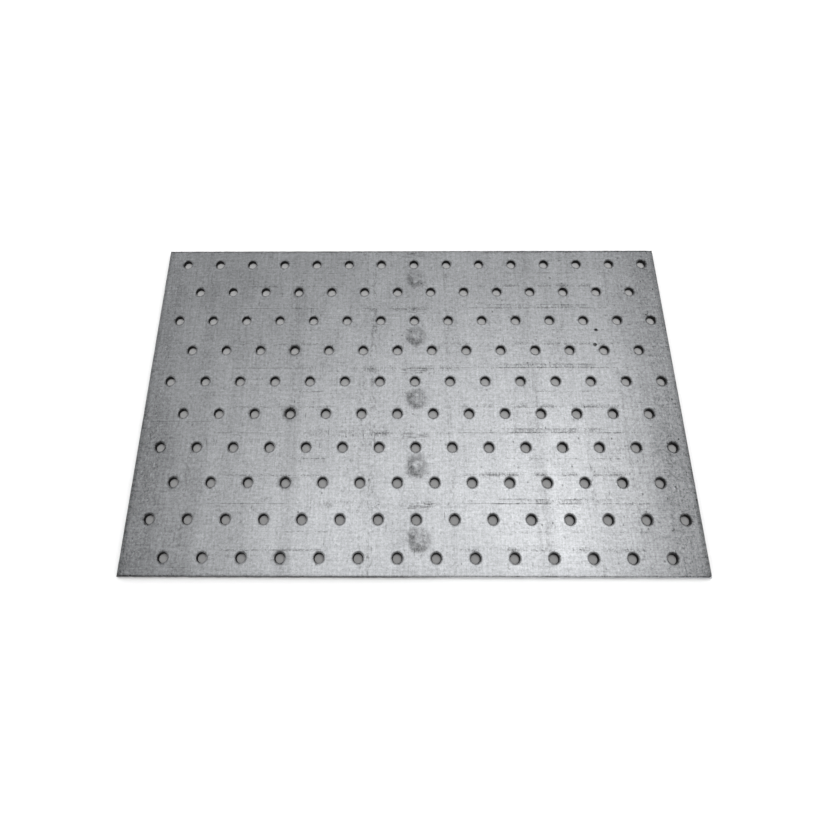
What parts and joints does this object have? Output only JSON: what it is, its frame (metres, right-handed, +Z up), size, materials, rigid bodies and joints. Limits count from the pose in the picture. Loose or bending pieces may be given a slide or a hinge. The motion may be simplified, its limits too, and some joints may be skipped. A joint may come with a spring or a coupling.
{
  "type": "perforated steel sheet",
  "caption": "Flat rectangular steel sheet with staggered rows of round punched holes, cut square on all sides, for decking, guards and panels.",
  "frame": {"origin": "centre of the underside, on the plane the sheet lies on", "axes": "+X along the rows of holes, the sheet's length; +Y across the rows, its width; +Z up, out of the top face"},
  "size_m": [0.3, 0.19, 0.003],
  "materials": {
    "sheet_steel": "bare mill-finish sheet steel, dull grey, with rolling grain and press marks"
  },
  "bodies": {
    "root": {"perforated_sheet": "sheet_steel"}
  },
  "joints": []
}
